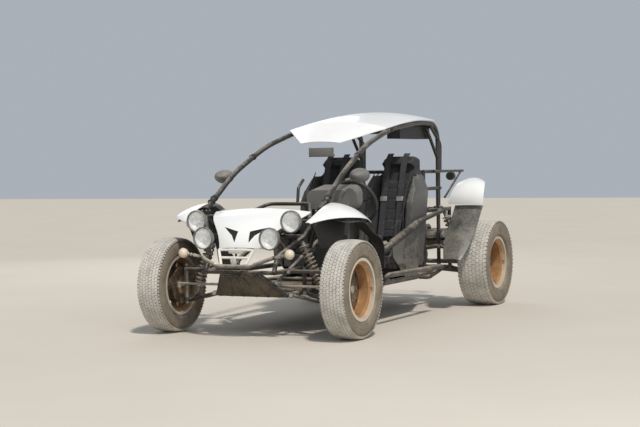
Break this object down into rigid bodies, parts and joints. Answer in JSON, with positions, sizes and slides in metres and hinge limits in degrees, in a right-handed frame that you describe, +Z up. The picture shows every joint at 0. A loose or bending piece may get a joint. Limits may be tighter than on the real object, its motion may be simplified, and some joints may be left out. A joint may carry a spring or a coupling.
{
  "type": "dune buggy",
  "caption": "Open-cage two-seat dune buggy with a domed roof sheet, round lamps, coil-over suspension, bucket seats and a rear-mounted engine under a rack.",
  "frame": {"origin": "on the ground, in the middle of the vehicle's bounding box seen from above", "axes": "the front faces -Y, the vehicle's left side is +X, +Z is up"},
  "size_m": [1.5354, 2.99, 1.4198],
  "materials": {
    "black_tube": "satin black paint under pale dust",
    "white_panel": "glossy white, dusty and scratched",
    "black_plastic": "matt black, dusty",
    "grey_plastic": "grained grey",
    "dull_steel": "dull and dusty",
    "spring_steel": "dusty",
    "rim_steel": "grey paint under brown dust",
    "bare_aluminium": "cast, dull",
    "cast_engine": "oily and dusty",
    "black_grip": "soft grained",
    "red_lens": "red, dusty",
    "clear_glass": "clear",
    "seat_cloth": "coarse weave, dusty",
    "tyre": "worn rubber with dry mud"
  },
  "bodies": {
    "vehicle": {"bull_bar": "black_tube", "coil_springs": "spring_steel", "dampers": "dull_steel", "dash_cowl": "grey_plastic", "driver_controls": "dull_steel", "engine": "cast_engine", "exhaust": "dull_steel", "floor_frame": "black_tube", "floor_pan": "dull_steel", "foot_panels": "black_plastic", "front_arms": "black_tube", "front_bars": "black_tube", "front_fenders": "white_panel", "front_frame": "black_tube", "front_liners": "black_plastic", "headlamp_lenses": "clear_glass", "headlamp_shells": "grey_plastic", "mirrors": "grey_plastic", "nose_panel": "white_panel", "overhead_box": "black_plastic", "rack_housing": "bare_aluminium", "rear_arms": "black_tube", "rear_fenders": "white_panel", "rear_frame": "black_tube", "rear_guards": "black_plastic", "rear_hubs": "dull_steel", "rear_rack": "black_tube", "roll_cage": "black_tube", "roof_panel": "white_panel", "seat_left": "seat_cloth", "seat_right": "seat_cloth", "side_panels": "black_plastic", "side_rails": "black_tube", "side_steps": "black_tube", "skid_plate": "dull_steel", "steering_column": "dull_steel", "tail_lamps": "red_lens", "turn_signals": "grey_plastic"},
    "knuckle_left": {"knuckle_left": "dull_steel"},
    "knuckle_right": {"knuckle_right": "dull_steel"},
    "wheel_front_left": {"tyre_front_left": "tyre", "rim_front_left": "rim_steel"},
    "wheel_front_right": {"tyre_front_right": "tyre", "rim_front_right": "rim_steel"},
    "wheel_rear_left": {"tyre_rear_left": "tyre", "rim_rear_left": "rim_steel", "drive_shaft_left": "dull_steel"},
    "wheel_rear_right": {"tyre_rear_right": "tyre", "rim_rear_right": "rim_steel", "drive_shaft_right": "dull_steel"},
    "steering_wheel": {"steering_wheel": "black_grip"},
    "steering_rack": {"tie_rods": "dull_steel"}
  },
  "joints": [
    {"name": "steering_wheel_turn", "type": "hinge", "parent": "vehicle", "child": "steering_wheel", "pos_m": [0.245, -0.255, 0.8], "axis": [0.0853, 0.8975, 0.4326], "range_deg": [-270, 270]},
    {"name": "knuckle_left_steer", "type": "hinge", "parent": "vehicle", "child": "knuckle_left", "pos_m": [0.522, -1.16, 0.3], "axis": [0, 0, 1], "range_deg": [-30, 30]},
    {"name": "knuckle_right_steer", "type": "hinge", "parent": "vehicle", "child": "knuckle_right", "pos_m": [-0.522, -1.16, 0.3], "axis": [0, 0, 1], "range_deg": [-30, 30]},
    {"name": "rack_slide", "type": "slide", "parent": "vehicle", "child": "steering_rack", "axis": [1, 0, 0], "range_m": [-0.0475, 0.0475]},
    {"name": "wheel_front_left_spin", "type": "hinge", "parent": "knuckle_left", "child": "wheel_front_left", "pos_m": [0.63, -1.16, 0.3], "axis": [1, 0, 0], "continuous": true},
    {"name": "wheel_front_right_spin", "type": "hinge", "parent": "knuckle_right", "child": "wheel_front_right", "pos_m": [-0.63, -1.16, 0.3], "axis": [1, 0, 0], "continuous": true},
    {"name": "wheel_rear_left_spin", "type": "hinge", "parent": "vehicle", "child": "wheel_rear_left", "pos_m": [0.655, 1.12, 0.313], "axis": [1, 0, 0], "continuous": true},
    {"name": "wheel_rear_right_spin", "type": "hinge", "parent": "vehicle", "child": "wheel_rear_right", "pos_m": [-0.655, 1.12, 0.313], "axis": [1, 0, 0], "continuous": true}
  ],
  "couplings": [
    {"joint": "knuckle_left_steer", "follows": "steering_wheel_turn", "ratio": 0.11111},
    {"joint": "knuckle_right_steer", "follows": "steering_wheel_turn", "ratio": 0.11111},
    {"joint": "rack_slide", "follows": "steering_wheel_turn", "m_per_rad": 0.01008}
  ]
}
